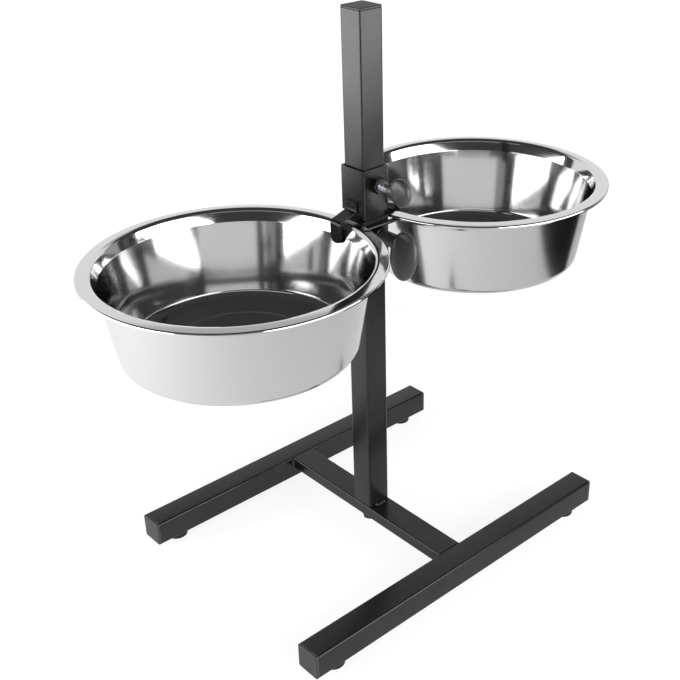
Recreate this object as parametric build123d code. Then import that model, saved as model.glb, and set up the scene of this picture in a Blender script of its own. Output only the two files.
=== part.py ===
from build123d import *

import math
import os

# Raised pet bowl stand. An H-shaped base of square steel tube carries one square post. A sleeve on the
# post holds two wire rings, a steel bowl hangs in each, and a second sleeve above locks the bowls down
# with two hooks. Each sleeve is clamped by a thumb screw.
# Millimetres. The origin is on the floor under the post, X runs along the rails from bowl to bowl,
# -Y is the side of the thumb screws, and +Z is up.

# Square tube of the base and post
TUBE_SIDE = 25.0
TUBE_WALL = 1.5
TUBE_CORNER = 2.2

# Rails, crossbar and post
RAIL_LENGTH = 368.0
RAIL_SPACING = 246.0
CROSSBAR_WIDTH = 27.0
CROSSBAR_HEIGHT = 12.5
CROSSBAR_WALL = 1.5
CROSSBAR_CORNER = 1.6
POST_LENGTH = 486.5

# Plastic caps in the tube ends
RAIL_CAP_PLATE = 3.0
POST_CAP_PLATE = 2.0
CAP_PLUG_LENGTH = 9.0
CAP_PLUG_CLEARANCE = 0.05
CAP_EDGE_ROUND = 0.8

# Push-in feet
FOOT_HEIGHT = 6.0
FOOT_DIAMETER = 21.0
FOOT_EDGE_ROUND = 0.8
FOOT_END_DISTANCE = 28.0
FOOT_STEM_DIAMETER = 6.0
FOOT_STEM_REACH = 5.0
FOOT_HOLE_CLEARANCE = 0.05

# Bolt that draws the post down on the crossbar, its washer and the threaded plug in the post
BOLT_DIAMETER = 10.0
BOLT_HEAD_FLATS = 17.0
BOLT_HEAD_HEIGHT = 6.4
BOLT_HOLE_CLEARANCE = 0.3
BOLT_THREAD_CLEARANCE = 0.05
WASHER_DIAMETER = 20.0
WASHER_THICKNESS = 2.0
POST_PLUG_HEIGHT = 16.0
POST_PLUG_CLEARANCE = 0.05

# Weld beads
CROSSBAR_BEAD_RADIUS = 2.4
POST_BEAD_LENGTH = 13.0
POST_BEAD_REACH = 4.0
POST_BEAD_HEIGHT = 3.6
ROD_BEAD_LENGTH = 7.0
ROD_BEAD_REACH = 2.2
ROD_BEAD_EDGE_DISTANCE = 6.0

# Sleeves that slide on the post
SLEEVE_CLEARANCE = 0.5
SLEEVE_WALL = 2.0
SLEEVE_CORNER = 2.6
RING_SLEEVE_HEIGHT = 41.0
LOCK_SLEEVE_HEIGHT = 40.0
LOCK_GAP = 6.0

# Wire rings and the rods that carry them
RING_HEIGHT = 335.4
RING_CENTRE = 141.8
RING_RADIUS = 117.5
RING_WIRE_DIAMETER = 4.5
RING_BELOW_SLEEVE_TOP = 3.7
ROD_DIAMETER = 4.0
ROD_BELOW_RING = 2.0

# Bowls, pressed from one sheet
BOWL_SHEET = 0.9
BOWL_RIM_RADIUS = 126.0
BOWL_RIM_SLOPE = 6.0
BOWL_RIM_LIP = 1.8
BOWL_RIM_LIP_RADIUS = 1.1
BOWL_RING_CLEARANCE = 2.3
BOWL_SEAT_GAP = 0.3
BOWL_NECK_BEND = 4.0
BOWL_COLLAR_HEIGHT = 11.0
BOWL_COLLAR_SPREAD = 2.4
BOWL_COLLAR_BEND = 1.5
BOWL_DEPTH = 79.0
BOWL_FLOOR_RADIUS = 99.2
BOWL_FLOOR_BEND = 8.0
BOWL_BOSS_RADIUS = 61.5
BOWL_BOSS_RISE = 1.2
BOWL_BOSS_BEND = 1.6

# Hooks that hold the bowls' rims down
HOOK_WIDTH = 14.0
HOOK_THICKNESS = 2.0
HOOK_SLOPE = 18.0
HOOK_LEG = 9.0
HOOK_TAB = 19.0
HOOK_ROOT_BEND = 2.4
HOOK_TAB_BEND = 3.4
HOOK_TAB_ROUND = 6.0
HOOK_RIM_GAP = 0.5
HOOK_WALL_GAP = 0.6

# Thumb screws: nuts, studs and knobs
SCREW_BELOW_SLEEVE_TOP = 14.3
SCREW_DIAMETER = 8.0
SCREW_HOLE_CLEARANCE = 0.05
SCREW_TIP_GAP = 0.05
NUT_FLATS = 13.0
NUT_HEIGHT = 6.5
STUD_SOCKET_DEPTH = 9.0
STUD_SOCKET_CLEARANCE = 0.05
KNOB_HUB_DIAMETER = 12.6
KNOB_HUB_ROUND = 1.5
KNOB_EDGE_SHARE = 0.42
RING_KNOB_STANDOFF = 0.5
RING_KNOB_HUB_LENGTH = 21.0
RING_KNOB_WIDTH = 31.0
RING_KNOB_HEIGHT = 44.0
RING_KNOB_THICKNESS = 9.6
RING_KNOB_OUTREACH = 28.5
RING_KNOB_DROP = 10.0
RING_KNOB_TURN = 8.0
LOCK_KNOB_STANDOFF = 11.5
LOCK_KNOB_HUB_LENGTH = 7.0
LOCK_KNOB_WIDTH = 23.0
LOCK_KNOB_HEIGHT = 25.0
LOCK_KNOB_THICKNESS = 10.0
LOCK_KNOB_OUTREACH = 12.5
LOCK_KNOB_DROP = 0.0
LOCK_KNOB_TURN = 0.0

# Heights and places that follow from the sizes above
RAIL_BOTTOM = FOOT_HEIGHT
RAIL_MIDDLE = RAIL_BOTTOM + TUBE_SIDE / 2
RAIL_TOP = RAIL_BOTTOM + TUBE_SIDE
CROSSBAR_BOTTOM = RAIL_TOP - CROSSBAR_HEIGHT
CROSSBAR_LENGTH = RAIL_SPACING - TUBE_SIDE
POST_BOTTOM = RAIL_TOP
POST_TOP = POST_BOTTOM + POST_LENGTH
SLEEVE_SIDE = TUBE_SIDE + 2 * (SLEEVE_CLEARANCE + SLEEVE_WALL)
RING_SLEEVE_TOP = RING_HEIGHT + RING_BELOW_SLEEVE_TOP
RING_SLEEVE_BOTTOM = RING_SLEEVE_TOP - RING_SLEEVE_HEIGHT
LOCK_SLEEVE_BOTTOM = RING_SLEEVE_TOP + LOCK_GAP
LOCK_SLEEVE_TOP = LOCK_SLEEVE_BOTTOM + LOCK_SLEEVE_HEIGHT
ROD_OFFSET = SLEEVE_SIDE / 2 + ROD_DIAMETER / 2
ROD_HEIGHT = RING_HEIGHT - ROD_BELOW_RING
RING_SCREW_HEIGHT = RING_SLEEVE_TOP - SCREW_BELOW_SLEEVE_TOP
LOCK_SCREW_HEIGHT = LOCK_SLEEVE_TOP - SCREW_BELOW_SLEEVE_TOP
NUT_FACE = SLEEVE_SIDE / 2 + NUT_HEIGHT

# The bowl's wall hangs inside the ring with its clearance, and its rim lies on the ring's wire
RIM_SLOPE = math.radians(BOWL_RIM_SLOPE)
BOWL_NECK_RADIUS = RING_RADIUS - RING_WIRE_DIAMETER / 2 - BOWL_RING_CLEARANCE - BOWL_SHEET / 2
RIM_OVER_WIRE = RING_HEIGHT + (RING_WIRE_DIAMETER / 2 + BOWL_SEAT_GAP + BOWL_SHEET / 2) / math.cos(RIM_SLOPE)
BOWL_NECK_HEIGHT = RIM_OVER_WIRE + (RING_RADIUS - BOWL_NECK_RADIUS) * math.tan(RIM_SLOPE)
BOWL_RIM_EDGE = BOWL_RIM_RADIUS - BOWL_SHEET / 2
BOWL_RIM_EDGE_HEIGHT = RIM_OVER_WIRE - (BOWL_RIM_EDGE - RING_RADIUS) * math.tan(RIM_SLOPE)
BOWL_FLOOR_HEIGHT = BOWL_NECK_HEIGHT - BOWL_DEPTH
BOWL_WALL_LEAN = (BOWL_NECK_RADIUS - BOWL_FLOOR_RADIUS) / BOWL_DEPTH

# The wall's line would meet the rim at the neck. A collar leans out from it to a wider corner.
BOWL_CREASE_RADIUS = BOWL_NECK_RADIUS - BOWL_COLLAR_HEIGHT * BOWL_WALL_LEAN
BOWL_CORNER_RADIUS = BOWL_NECK_RADIUS + BOWL_COLLAR_SPREAD
BOWL_CORNER_HEIGHT = BOWL_NECK_HEIGHT - BOWL_COLLAR_SPREAD * math.tan(RIM_SLOPE)

# A hexagon's turn that puts two of its flats above and below
HEX_TURN = 0

SIDES = {"left": -1, "right": 1}
RAILS = {"front": -1, "back": 1}


def rounded_bar(width, depth, corner, length):
    """Solid bar with rounded edges, standing on the XY plane."""
    return extrude(RectangleRounded(width, depth, corner), length)


def rounded_tube(width, depth, wall, corner, length):
    """Rectangular tube with rounded edges, standing on the XY plane."""
    inner_corner = max(corner - wall, 0.2)
    bore = rounded_bar(width - 2 * wall, depth - 2 * wall, inner_corner, length)
    return rounded_bar(width, depth, corner, length) - bore


def hexagon_bar(flats, length):
    """Hexagonal bar with a corner towards each side, standing on the XY plane."""
    return extrude(RegularPolygon(flats / 2, 6, major_radius=False, rotation=HEX_TURN), length)


def upright(diameter, length):
    """Round bar standing on the XY plane."""
    return Cylinder(diameter / 2, length, align=(Align.CENTER, Align.CENTER, Align.MIN))


def outward(solid):
    """Turns a solid that stands on the XY plane so that it points along -Y."""
    return Rot(90, 0, 0) * solid


# Base

def rail(side):
    """One square rail along X, open at its ends and drilled below for its feet."""
    length = RAIL_LENGTH - 2 * RAIL_CAP_PLATE
    tube = Rot(0, 90, 0) * rounded_tube(TUBE_SIDE, TUBE_SIDE, TUBE_WALL, TUBE_CORNER, length)
    body = Pos(-length / 2, side * RAIL_SPACING / 2, RAIL_MIDDLE) * tube
    hole = upright(FOOT_STEM_DIAMETER + 2 * FOOT_HOLE_CLEARANCE, 3 * TUBE_WALL)
    for end in SIDES.values():
        body -= foot_place(end, side) * Pos(0, 0, RAIL_BOTTOM - TUBE_WALL) * hole
    return body


def foot_place(end, side):
    """Place of a foot on the floor."""
    return Pos(end * (RAIL_LENGTH / 2 - FOOT_END_DISTANCE), side * RAIL_SPACING / 2, 0)


def foot(end, side):
    """Round foot with a stem that is pushed into the rail."""
    pad = upright(FOOT_DIAMETER, FOOT_HEIGHT)
    pad = fillet(pad.edges().group_by(Axis.Z)[0], FOOT_EDGE_ROUND)
    stem = Pos(0, 0, FOOT_HEIGHT) * upright(FOOT_STEM_DIAMETER, FOOT_STEM_REACH)
    return foot_place(end, side) * (pad + stem)


def tube_cap(plate, bore_side):
    """Cap for a square tube's end: a plate on the XY plane and a plug below it."""
    cover = rounded_bar(TUBE_SIDE, TUBE_SIDE, TUBE_CORNER, plate)
    cover = fillet(cover.edges().group_by(Axis.Z)[-1], CAP_EDGE_ROUND)
    plug_side = bore_side - 2 * CAP_PLUG_CLEARANCE
    plug_corner = max(TUBE_CORNER - TUBE_WALL, 0.2)
    plug = Pos(0, 0, -CAP_PLUG_LENGTH) * rounded_bar(plug_side, plug_side, plug_corner, CAP_PLUG_LENGTH)
    return cover + plug


def rail_cap(end, side):
    """Cap in one end of a rail."""
    cap = tube_cap(RAIL_CAP_PLATE, TUBE_SIDE - 2 * TUBE_WALL)
    place = Pos(end * (RAIL_LENGTH / 2 - RAIL_CAP_PLATE), side * RAIL_SPACING / 2, RAIL_MIDDLE)
    return place * Rot(0, 90 * end, 0) * cap


def post_cap():
    """Cap in the top of the post."""
    return Pos(0, 0, POST_TOP) * tube_cap(POST_CAP_PLATE, TUBE_SIDE - 2 * TUBE_WALL)


def crossbar():
    """Flat tube between the rails, flush with their tops and drilled for the bolt."""
    tube = rounded_tube(CROSSBAR_WIDTH, CROSSBAR_HEIGHT, CROSSBAR_WALL, CROSSBAR_CORNER, CROSSBAR_LENGTH)
    bar = Pos(0, CROSSBAR_LENGTH / 2, CROSSBAR_BOTTOM + CROSSBAR_HEIGHT / 2) * outward(tube)
    hole = upright(BOLT_DIAMETER + 2 * BOLT_HOLE_CLEARANCE, CROSSBAR_HEIGHT)
    return bar - Pos(0, 0, CROSSBAR_BOTTOM) * hole


def post():
    """Square post standing on the crossbar."""
    return Pos(0, 0, POST_BOTTOM) * rounded_tube(TUBE_SIDE, TUBE_SIDE, TUBE_WALL, TUBE_CORNER, POST_LENGTH)


def post_plug():
    """Threaded plug fixed in the foot of the post."""
    side = TUBE_SIDE - 2 * TUBE_WALL - 2 * POST_PLUG_CLEARANCE
    body = rounded_bar(side, side, max(TUBE_CORNER - TUBE_WALL, 0.2), POST_PLUG_HEIGHT)
    thread = upright(BOLT_DIAMETER + 2 * BOLT_THREAD_CLEARANCE, POST_PLUG_HEIGHT)
    return Pos(0, 0, POST_BOTTOM) * (body - thread)


def base_washer():
    """Washer under the bolt's head."""
    ring = upright(WASHER_DIAMETER, WASHER_THICKNESS)
    ring -= upright(BOLT_DIAMETER + 2 * BOLT_HOLE_CLEARANCE, WASHER_THICKNESS)
    return Pos(0, 0, CROSSBAR_BOTTOM - WASHER_THICKNESS) * ring


def base_bolt():
    """Hexagon bolt driven up through the crossbar into the plug."""
    seat = CROSSBAR_BOTTOM - WASHER_THICKNESS
    head = Pos(0, 0, seat - BOLT_HEAD_HEIGHT) * hexagon_bar(BOLT_HEAD_FLATS, BOLT_HEAD_HEIGHT)
    shank = Pos(0, 0, seat) * upright(BOLT_DIAMETER, POST_BOTTOM + POST_PLUG_HEIGHT - seat)
    return head + shank


def crossbar_weld_beads():
    """Upright beads in the four corners between the crossbar and the rails."""
    radius = CROSSBAR_BEAD_RADIUS
    height = CROSSBAR_HEIGHT - 2 * CROSSBAR_CORNER
    corner_box = Box(radius, radius, height, align=(Align.CENTER, Align.CENTER, Align.MIN))
    beads = []
    for end in SIDES.values():
        for side in RAILS.values():
            quarter = upright(2 * radius, height) & Pos(end * radius / 2, -side * radius / 2, 0) * corner_box
            corner = Pos(end * CROSSBAR_WIDTH / 2, side * CROSSBAR_LENGTH / 2, CROSSBAR_BOTTOM + CROSSBAR_CORNER)
            beads.append(corner * quarter)
    return Compound(children=beads)


def post_weld_beads():
    """Short beads on the crossbar along the front and back of the post."""
    lump = scale(Sphere(1), by=(POST_BEAD_LENGTH / 2, POST_BEAD_REACH, POST_BEAD_HEIGHT))
    keep = Box(POST_BEAD_LENGTH, POST_BEAD_REACH, POST_BEAD_HEIGHT, align=(Align.CENTER, Align.MAX, Align.MIN))
    front = Pos(0, -TUBE_SIDE / 2, POST_BOTTOM) * (lump & keep)
    return Compound(children=[front, Rot(0, 0, 180) * front])


# Sleeves, rings and rods

def sleeve(bottom, height, screw_height):
    """Square sleeve around the post, drilled in front for its screw."""
    body = rounded_tube(SLEEVE_SIDE, SLEEVE_SIDE, SLEEVE_WALL, SLEEVE_CORNER, height)
    body = Pos(0, 0, bottom) * body
    hole = outward(upright(SCREW_DIAMETER + 2 * SCREW_HOLE_CLEARANCE, SLEEVE_SIDE))
    return body - Pos(0, 0, screw_height) * hole


def wire_ring(side):
    """Closed ring of round wire that a bowl hangs in."""
    return Pos(side * RING_CENTRE, 0, RING_HEIGHT) * Torus(RING_RADIUS, RING_WIRE_DIAMETER / 2)


def ring_rod(side):
    """Rod along one side of the sleeve, butted against both rings."""
    length = 2 * RING_CENTRE - 2 * math.sqrt(RING_RADIUS ** 2 - ROD_OFFSET ** 2)
    bar = Pos(0, side * ROD_OFFSET, ROD_HEIGHT) * Rot(0, 90, 0) * Cylinder(ROD_DIAMETER / 2, length)
    return bar - wire_ring(-1) - wire_ring(1)


def rod_weld_beads():
    """Small beads under the rods, near the sleeve's corners."""
    beads = []
    lump = scale(Sphere(1), by=(ROD_BEAD_LENGTH / 2, ROD_BEAD_REACH, ROD_DIAMETER / 2 + ROD_BEAD_REACH))
    for side in RAILS.values():
        face = side * SLEEVE_SIDE / 2
        for end in SIDES.values():
            bead = Pos(end * (SLEEVE_SIDE / 2 - ROD_BEAD_EDGE_DISTANCE), face, ROD_HEIGHT) * lump
            below = Box(SLEEVE_SIDE, ROD_DIAMETER, SLEEVE_SIDE, align=(Align.CENTER, Align.CENTER, Align.MAX))
            bead &= Pos(0, face + side * ROD_DIAMETER / 2, ROD_HEIGHT) * below
            beads.append(bead - ring_rod(side))
    return Compound(children=beads)


def weld_nut(screw_height):
    """Hexagon nut welded on the front of a sleeve."""
    body = hexagon_bar(NUT_FLATS, NUT_HEIGHT)
    body -= upright(SCREW_DIAMETER + 2 * SCREW_HOLE_CLEARANCE, NUT_HEIGHT)
    return Pos(0, -SLEEVE_SIDE / 2, screw_height) * outward(body)


# Thumb screws

def stud(screw_height, standoff):
    """Threaded stud from the post's face into the knob."""
    start = TUBE_SIDE / 2 + SCREW_TIP_GAP
    length = NUT_FACE + standoff + STUD_SOCKET_DEPTH - start
    return Pos(0, -start, screw_height) * outward(upright(SCREW_DIAMETER, length))


def knob(screw_height, standoff, hub_length, width, height, thickness, outreach, drop, turn):
    """Oval paddle on a round hub, bored for its stud. The paddle hangs by drop below the screw's axis."""
    upright_plane = Plane(origin=(0, 0, 0), x_dir=(0, -1, 0), z_dir=(-1, 0, 0))
    outline = upright_plane * Pos(outreach, -drop) * Ellipse(width / 2, height / 2)
    paddle = extrude(outline, thickness / 2, both=True)
    paddle = fillet(paddle.edges(), thickness * KNOB_EDGE_SHARE)
    hub = outward(upright(KNOB_HUB_DIAMETER, hub_length))
    hub = fillet(hub.edges().group_by(Axis.Y)[0], KNOB_HUB_ROUND)
    socket_depth = STUD_SOCKET_DEPTH + STUD_SOCKET_CLEARANCE
    socket = outward(upright(SCREW_DIAMETER + 2 * STUD_SOCKET_CLEARANCE, socket_depth))
    body = Rot(0, turn, 0) * (hub + paddle - socket)
    return Pos(0, -NUT_FACE - standoff, screw_height) * body


def ring_knob():
    """Large paddle of the screw that clamps the ring sleeve."""
    return knob(RING_SCREW_HEIGHT, RING_KNOB_STANDOFF, RING_KNOB_HUB_LENGTH, RING_KNOB_WIDTH,
                RING_KNOB_HEIGHT, RING_KNOB_THICKNESS, RING_KNOB_OUTREACH, RING_KNOB_DROP, RING_KNOB_TURN)


def lock_knob():
    """Small paddle of the screw that clamps the lock sleeve."""
    return knob(LOCK_SCREW_HEIGHT, LOCK_KNOB_STANDOFF, LOCK_KNOB_HUB_LENGTH, LOCK_KNOB_WIDTH,
                LOCK_KNOB_HEIGHT, LOCK_KNOB_THICKNESS, LOCK_KNOB_OUTREACH, LOCK_KNOB_DROP, LOCK_KNOB_TURN)


# Bowls and hooks

def offset_corners(points, distance):
    """Moves a run of straight lines sideways, to its left, and gives its new corners."""
    normals = []
    for (x0, y0), (x1, y1) in zip(points, points[1:]):
        length = math.hypot(x1 - x0, y1 - y0)
        normals.append((-(y1 - y0) / length, (x1 - x0) / length))
    moved = []
    for index, (x, y) in enumerate(points):
        before = normals[max(index - 1, 0)]
        after = normals[min(index, len(normals) - 1)]
        share = distance / (1 + before[0] * after[0] + before[1] * after[1])
        moved.append((x + share * (before[0] + after[0]), y + share * (before[1] + after[1])))
    return moved


def sheet_section(points, bends, thickness):
    """Face of a sheet of even thickness that follows the points, bent at each corner in between."""
    edges = []
    for side in (1, -1):
        corners = offset_corners(points, side * thickness / 2)
        radii = []
        for index, bend in enumerate(bends, start=1):
            (x0, y0), (x1, y1), (x2, y2) = points[index - 1:index + 2]
            turn = (x1 - x0) * (y2 - y1) - (y1 - y0) * (x2 - x1)
            radii.append(bend - math.copysign(thickness / 2, turn) * side)
        edges.append(FilletPolyline(*corners, radius=radii))
    left, right = edges
    ends = [Line(left @ 0, right @ 0), Line(left @ 1, right @ 1)]
    return make_face([left.edges(), right.edges(), ends[0].edges(), ends[1].edges()])


def bowl(side):
    """Round bowl: raised floor disc, straight leaning wall, flared collar and a rim with a turned-down lip."""
    step = BOWL_BOSS_RISE
    points = [
        (0, BOWL_FLOOR_HEIGHT + step),
        (BOWL_BOSS_RADIUS - step / 2, BOWL_FLOOR_HEIGHT + step),
        (BOWL_BOSS_RADIUS + step / 2, BOWL_FLOOR_HEIGHT),
        (BOWL_FLOOR_RADIUS, BOWL_FLOOR_HEIGHT),
        (BOWL_CREASE_RADIUS, BOWL_NECK_HEIGHT - BOWL_COLLAR_HEIGHT),
        (BOWL_CORNER_RADIUS, BOWL_CORNER_HEIGHT),
        (BOWL_RIM_EDGE, BOWL_RIM_EDGE_HEIGHT),
        (BOWL_RIM_EDGE, BOWL_RIM_EDGE_HEIGHT - BOWL_RIM_LIP),
    ]
    bends = [
        BOWL_BOSS_BEND,
        BOWL_BOSS_BEND,
        BOWL_FLOOR_BEND,
        BOWL_COLLAR_BEND,
        BOWL_NECK_BEND,
        BOWL_RIM_LIP_RADIUS,
    ]
    section = Plane.XZ * sheet_section(points, bends, BOWL_SHEET)
    return Pos(side * RING_CENTRE, 0, 0) * revolve(section, Axis.Z)


def hook(side):
    """Flat strap welded up the sleeve, sloping over a bowl's rim and turned down inside its wall."""
    leg = SLEEVE_SIDE / 2 + HOOK_THICKNESS / 2
    crest = BOWL_NECK_HEIGHT + BOWL_SHEET / 2 + HOOK_RIM_GAP + HOOK_THICKNESS / 2
    tip_depth = BOWL_NECK_HEIGHT - crest + HOOK_TAB
    wall = RING_CENTRE - BOWL_NECK_RADIUS + BOWL_SHEET / 2 + tip_depth * BOWL_WALL_LEAN
    tab = wall + HOOK_WALL_GAP + HOOK_THICKNESS / 2
    foot_height = crest + (tab - leg) * math.tan(math.radians(HOOK_SLOPE))
    points = [(leg, foot_height + HOOK_LEG), (leg, foot_height), (tab, crest), (tab, crest - HOOK_TAB)]
    section = Plane.XZ * sheet_section(points, [HOOK_ROOT_BEND, HOOK_TAB_BEND], HOOK_THICKNESS)
    strap = extrude(section, HOOK_WIDTH / 2, both=True)
    tip = strap.edges().filter_by(Axis.X).group_by(Axis.Z)[0]
    strap = fillet(tip, HOOK_TAB_ROUND)
    return strap if side > 0 else Rot(0, 0, 180) * strap


def build_parts():
    """Makes every piece and returns them by node name."""
    parts = {
        "crossbar": crossbar(),
        "crossbar_weld_beads": crossbar_weld_beads(),
        "post": post(),
        "post_cap": post_cap(),
        "post_plug": post_plug(),
        "post_weld_beads": post_weld_beads(),
        "base_bolt": base_bolt(),
        "base_washer": base_washer(),
        "ring_sleeve": sleeve(RING_SLEEVE_BOTTOM, RING_SLEEVE_HEIGHT, RING_SCREW_HEIGHT),
        "ring_nut": weld_nut(RING_SCREW_HEIGHT),
        "ring_stud": stud(RING_SCREW_HEIGHT, RING_KNOB_STANDOFF),
        "ring_knob": ring_knob(),
        "rod_weld_beads": rod_weld_beads(),
        "lock_sleeve": sleeve(LOCK_SLEEVE_BOTTOM, LOCK_SLEEVE_HEIGHT, LOCK_SCREW_HEIGHT),
        "lock_nut": weld_nut(LOCK_SCREW_HEIGHT),
        "lock_stud": stud(LOCK_SCREW_HEIGHT, LOCK_KNOB_STANDOFF),
        "lock_knob": lock_knob(),
    }
    for rail_name, side in RAILS.items():
        parts[f"{rail_name}_rail"] = rail(side)
        parts[f"{rail_name}_ring_rod"] = ring_rod(side)
        for end_name, end in SIDES.items():
            parts[f"{rail_name}_{end_name}_cap"] = rail_cap(end, side)
            parts[f"{rail_name}_{end_name}_foot"] = foot(end, side)
    for side_name, side in SIDES.items():
        parts[f"{side_name}_ring"] = wire_ring(side)
        parts[f"{side_name}_bowl"] = bowl(side)
        parts[f"{side_name}_hook"] = hook(side)
    return parts


os.makedirs("parts", exist_ok=True)
for name, shape in build_parts().items():
    export_step(shape, f"parts/{name}.step")
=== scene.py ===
"""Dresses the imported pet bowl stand: finer meshes, finishes, studio and camera.

Lengths are in metres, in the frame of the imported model: -X is left, the thumb screws are on the -Y side,
and +Z is up from the floor.
"""

import logging
import math
from dataclasses import dataclass
from enum import Enum
from typing import Any, Sequence

import bmesh
import bpy
from mathutils import Matrix, Vector

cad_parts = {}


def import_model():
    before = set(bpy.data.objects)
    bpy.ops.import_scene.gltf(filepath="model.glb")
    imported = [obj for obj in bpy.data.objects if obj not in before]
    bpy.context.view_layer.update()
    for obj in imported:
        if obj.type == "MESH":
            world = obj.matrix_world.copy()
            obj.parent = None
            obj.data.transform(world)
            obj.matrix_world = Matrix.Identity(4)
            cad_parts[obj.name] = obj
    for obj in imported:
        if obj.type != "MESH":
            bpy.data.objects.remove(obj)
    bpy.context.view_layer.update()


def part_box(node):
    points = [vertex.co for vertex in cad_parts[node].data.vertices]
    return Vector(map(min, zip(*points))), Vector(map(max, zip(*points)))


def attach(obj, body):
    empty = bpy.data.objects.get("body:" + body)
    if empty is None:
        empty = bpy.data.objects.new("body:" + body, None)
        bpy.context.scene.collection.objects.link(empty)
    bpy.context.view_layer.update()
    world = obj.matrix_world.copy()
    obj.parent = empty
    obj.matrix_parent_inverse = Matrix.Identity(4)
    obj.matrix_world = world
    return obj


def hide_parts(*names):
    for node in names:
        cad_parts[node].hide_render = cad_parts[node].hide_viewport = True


LOG = logging.getLogger("pet_bowl_stand")
MM = 0.001
FULL_TURN = 2 * math.pi
# Points closer than this are one point, in a new mesh and in a packed one
NEW_MERGE = 0.0005 * MM
PACKED_MERGE = 0.001 * MM
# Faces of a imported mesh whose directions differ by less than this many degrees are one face
FLAT_ANGLE = 1.0
# Angle in degrees from which an edge is shaded sharp, or rounded
SHARP_ANGLE = 35.0
ROUNDING_STEPS = 3
# Range that holds most of a noise's values
NOISE_RANGE = (0.3, 0.7)
WHITE = "#ffffff"

Flat = tuple[float, float]
Loop = list[Vector]


class Half(Enum):
    """Half of the stand, by the sign of an axis."""

    @property
    def word(self) -> str:
        """Name of the half as the pieces spell it."""
        return self.name.lower()


class Side(Half):
    """Left and right halves of the stand, by the sign of X."""

    LEFT = -1
    RIGHT = 1


class Rail(Half):
    """Front and back rails of the base, by the sign of Y."""

    FRONT = -1
    BACK = 1


class Slot(Enum):
    """Material slots of the record."""

    POWDER_COAT = "powder_coat"
    ZINC_STEEL = "zinc_steel"
    STAINLESS = "stainless"
    KNOB_PLASTIC = "knob_plastic"
    CAP_PLASTIC = "cap_plastic"
    FOOT_RUBBER = "foot_rubber"


# Node helpers

def linear(colour: str) -> tuple[float, float, float, float]:
    """Turns an sRGB hex colour into linear red, green, blue and alpha.

    Args:
        colour: Six hex digits after a number sign.

    Returns:
        The linear colour, with alpha 1.
    """
    channels = []
    for start in (1, 3, 5):
        value = int(colour[start:start + 2], 16) / 255
        channels.append(value / 12.92 if value <= 0.04045 else ((value + 0.055) / 1.055) ** 2.4)
    return (channels[0], channels[1], channels[2], 1.0)


def add_node(tree: bpy.types.NodeTree, kind: str, inputs: dict[Any, Any] | None = None,
             **settings: Any) -> bpy.types.Node:
    """Adds one node with its settings, socket values and links.

    Args:
        tree: Node tree that gets the node.
        kind: Blender's name of the node type.
        inputs: Value or linked output socket for each input, by name or number.
        settings: Attributes of the node itself.

    Returns:
        The new node.
    """
    node = tree.nodes.new(kind)
    for name, value in settings.items():
        setattr(node, name, value)
    for name, value in (inputs or {}).items():
        if isinstance(value, bpy.types.NodeSocket):
            tree.links.new(value, node.inputs[name])
        else:
            node.inputs[name].default_value = value
    return node


def bare_material(name: str) -> bpy.types.Material:
    """Makes a material whose node tree is still empty.

    Args:
        name: Name of the material.

    Returns:
        The material.
    """
    made = bpy.data.materials.new(name)
    made.use_nodes = True
    made.node_tree.nodes.clear()
    return made


# Finishes

@dataclass(frozen=True)
class Finish:
    """Surface finish of a real material, made into one Blender material."""

    name: str
    slot: Slot
    colour: str
    roughness: float

    def material(self) -> bpy.types.Material:
        """Makes the finish's material at its first use.

        Returns:
            The material.
        """
        made = bpy.data.materials.get(self.name)
        if made is None:
            made = bare_material(self.name)
            shader = self.shader(made.node_tree)
            add_node(made.node_tree, "ShaderNodeOutputMaterial", {"Surface": shader.outputs[0]})
        return made

    def shader(self, tree: bpy.types.NodeTree) -> bpy.types.Node:
        """Builds the surface shader.

        Args:
            tree: Node tree of the new material.

        Returns:
            The shader node at the end of the finish.
        """
        raise NotImplementedError

    def dress(self, piece: bpy.types.Object) -> None:
        """Puts the finish on every face of a piece."""
        piece.data.materials.clear()
        piece.data.materials.append(self.material())


class Sheen(Enum):
    """What the roughness of a mottled finish follows."""

    EVEN = "even"
    PATCHES = "patches"
    GRAIN = "grain"


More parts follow.
